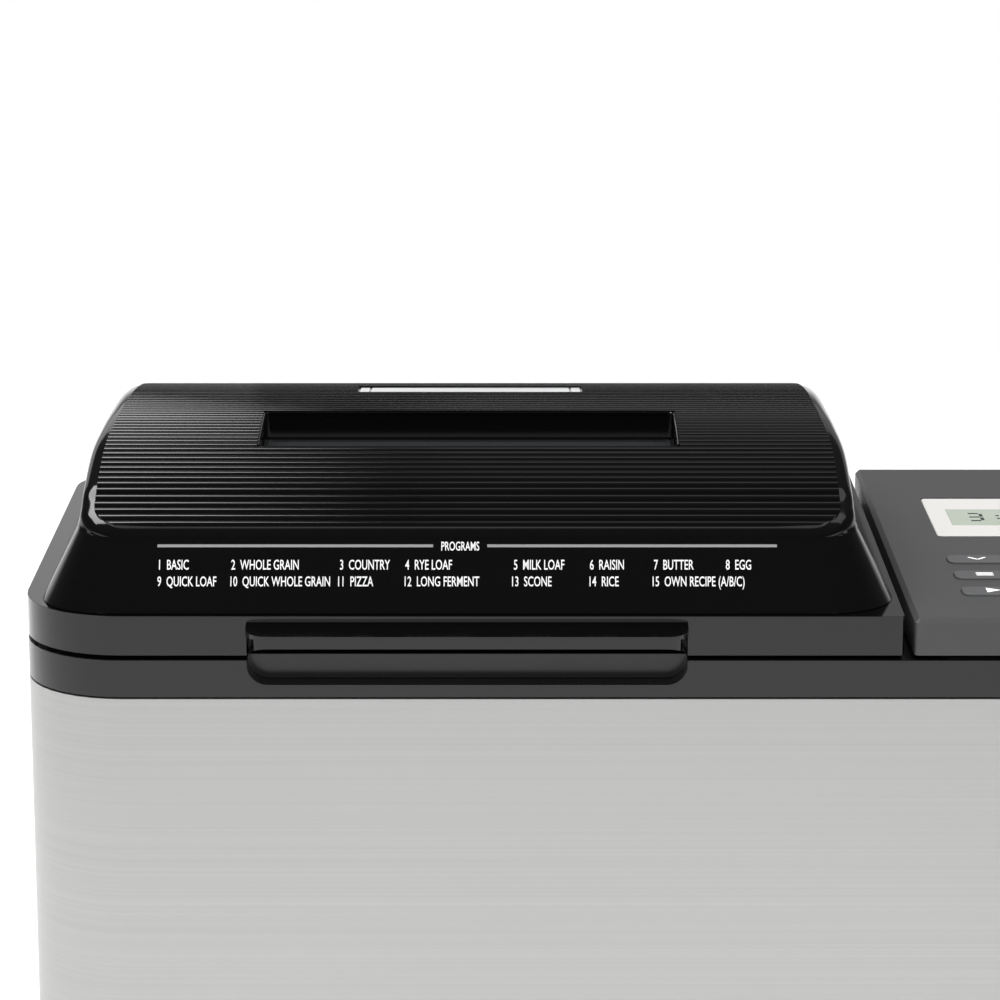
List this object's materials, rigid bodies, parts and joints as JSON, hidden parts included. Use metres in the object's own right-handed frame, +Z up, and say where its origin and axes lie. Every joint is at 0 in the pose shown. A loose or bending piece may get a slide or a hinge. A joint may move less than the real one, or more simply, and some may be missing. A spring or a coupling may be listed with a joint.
{
  "type": "bread machine",
  "caption": "Bread machine with a horizontal pan: steel-wrapped body, hinged domed lid with a window, side control panel, removable pan with two belt-driven kneading paddles.",
  "frame": {"origin": "on the ground under the middle of the object's box", "axes": "+Z up, +X along the width towards the control panel, the front faces -Y"},
  "size_m": [0.457, 0.267, 0.327],
  "materials": {
    "black_gloss": "high gloss",
    "black_band": "semi gloss",
    "panel_dark": "satin",
    "brushed_steel": "fine horizontal brushing",
    "plated_steel": "satin",
    "bright_steel": "polished",
    "pan_coating": "fine satin coating",
    "paddle_coating": "fine satin coating",
    "black_rubber": "matte",
    "black_plastic": "fine grain",
    "display_pale": "clear over pale",
    "button_grey": "satin",
    "badge_silver": "brushed",
    "window_glass": "smoked",
    "circuit_board": "solder mask",
    "heater_sheath": "heat darkened",
    "drive_belt": "matte"
  },
  "bodies": {
    "body": {"top_frame": "black_band", "control_panel_cover": "panel_dark", "outer_wrap": "brushed_steel", "baking_chamber": "plated_steel", "pan_seat": "plated_steel", "chassis_plate": "plated_steel", "motor_body": "plated_steel", "temperature_sensor": "bright_steel", "shaft_bearing_left": "bright_steel", "shaft_bearing_right": "bright_steel", "hinge_bracket_left": "bright_steel", "hinge_bracket_right": "bright_steel", "hinge_pin_left": "bright_steel", "hinge_pin_right": "bright_steel", "foot_front_left": "black_rubber", "foot_back_left": "black_rubber", "foot_front_right": "black_rubber", "foot_back_right": "black_rubber", "cord_gland": "black_rubber", "base_tray": "black_plastic", "rear_cover": "black_plastic", "display_window": "display_pale", "display_module": "display_pale", "power_board": "circuit_board", "control_board": "circuit_board", "main_heater": "heater_sheath", "paddle_belt": "drive_belt", "motor_belt": "drive_belt"},
    "drive_right": {"drive_shaft_right": "bright_steel", "drive_pulley_right": "black_plastic", "drive_dog_right": "bright_steel"},
    "drive_left": {"drive_shaft_left": "bright_steel", "drive_pulley_left": "black_plastic", "drive_dog_left": "bright_steel"},
    "motor": {"motor_shaft": "bright_steel", "motor_pulley": "bright_steel"},
    "pan": {"bread_pan": "pan_coating", "pan_base": "plated_steel", "pan_bush_left": "bright_steel", "pan_bush_right": "bright_steel"},
    "mixer_left": {"pan_shaft_left": "bright_steel", "kneading_paddle_left": "paddle_coating"},
    "mixer_right": {"pan_shaft_right": "bright_steel", "kneading_paddle_right": "paddle_coating"},
    "handle": {"pan_handle": "bright_steel"},
    "lid": {"lid_frame": "black_gloss", "lid_dome": "black_gloss", "window_outer_glass": "window_glass", "window_inner_glass": "window_glass", "lid_liner": "plated_steel", "lid_gasket": "black_rubber", "badge_plate": "badge_silver", "hinge_arm_left": "bright_steel", "hinge_arm_right": "bright_steel"},
    "button_start": {"button_start": "button_grey"},
    "button_cancel": {"button_cancel": "button_grey"},
    "button_crust": {"button_crust": "button_grey"},
    "button_timer": {"button_timer": "button_grey"},
    "button_course_down": {"button_course_down": "button_grey"},
    "button_course_up": {"button_course_up": "button_grey"}
  },
  "joints": [
    {"name": "lid_hinge", "type": "hinge", "parent": "body", "child": "lid", "pos_m": [-0.0559, 0.127, 0.2635], "axis": [-1, 0, 0], "range_deg": [0, 82]},
    {"name": "pan_lift", "type": "slide", "parent": "body", "child": "pan", "axis": [0, 0, 1], "range_m": [0, 0.03]},
    {"name": "pan_handle_swing", "type": "hinge", "parent": "pan", "child": "handle", "pos_m": [-0.0559, 0, 0.228], "axis": [-1, 0, 0], "range_deg": [0, 140]},
    {"name": "drive_right_spin", "type": "hinge", "parent": "body", "child": "drive_right", "pos_m": [-0.0059, 0, 0.05], "axis": [0, 0, 1], "continuous": true},
    {"name": "drive_left_spin", "type": "hinge", "parent": "body", "child": "drive_left", "pos_m": [-0.1059, 0, 0.05], "axis": [0, 0, 1], "continuous": true},
    {"name": "motor_spin", "type": "hinge", "parent": "body", "child": "motor", "pos_m": [0.15, 0.01, 0.05], "axis": [0, 0, 1], "continuous": true},
    {"name": "paddle_left_spin", "type": "hinge", "parent": "pan", "child": "mixer_left", "pos_m": [-0.1059, 0, 0.11], "axis": [0, 0, 1], "continuous": true},
    {"name": "paddle_right_spin", "type": "hinge", "parent": "pan", "child": "mixer_right", "pos_m": [-0.0059, 0, 0.11], "axis": [0, 0, 1], "continuous": true},
    {"name": "button_start_press", "type": "slide", "parent": "body", "child": "button_start", "axis": [0, 0, -1], "range_m": [0, 0.0008], "stiffness_N_per_m": 500, "springref_m": -0.0006},
    {"name": "button_cancel_press", "type": "slide", "parent": "body", "child": "button_cancel", "axis": [0, 0, -1], "range_m": [0, 0.0008], "stiffness_N_per_m": 500, "springref_m": -0.0006},
    {"name": "button_crust_press", "type": "slide", "parent": "body", "child": "button_crust", "axis": [0, 0, -1], "range_m": [0, 0.0008], "stiffness_N_per_m": 500, "springref_m": -0.0006},
    {"name": "button_timer_press", "type": "slide", "parent": "body", "child": "button_timer", "axis": [0, 0, -1], "range_m": [0, 0.0008], "stiffness_N_per_m": 500, "springref_m": -0.0006},
    {"name": "button_course_down_press", "type": "slide", "parent": "body", "child": "button_course_down", "axis": [0, 0, -1], "range_m": [0, 0.0008], "stiffness_N_per_m": 500, "springref_m": -0.0006},
    {"name": "button_course_up_press", "type": "slide", "parent": "body", "child": "button_course_up", "axis": [0, 0, -1], "range_m": [0, 0.0008], "stiffness_N_per_m": 500, "springref_m": -0.0006}
  ],
  "couplings": [
    {"joint": "drive_left_spin", "follows": "drive_right_spin", "ratio": 1},
    {"joint": "motor_spin", "follows": "drive_right_spin", "ratio": 5.5},
    {"joint": "paddle_left_spin", "follows": "drive_right_spin", "ratio": 1},
    {"joint": "paddle_right_spin", "follows": "drive_right_spin", "ratio": 1}
  ]
}
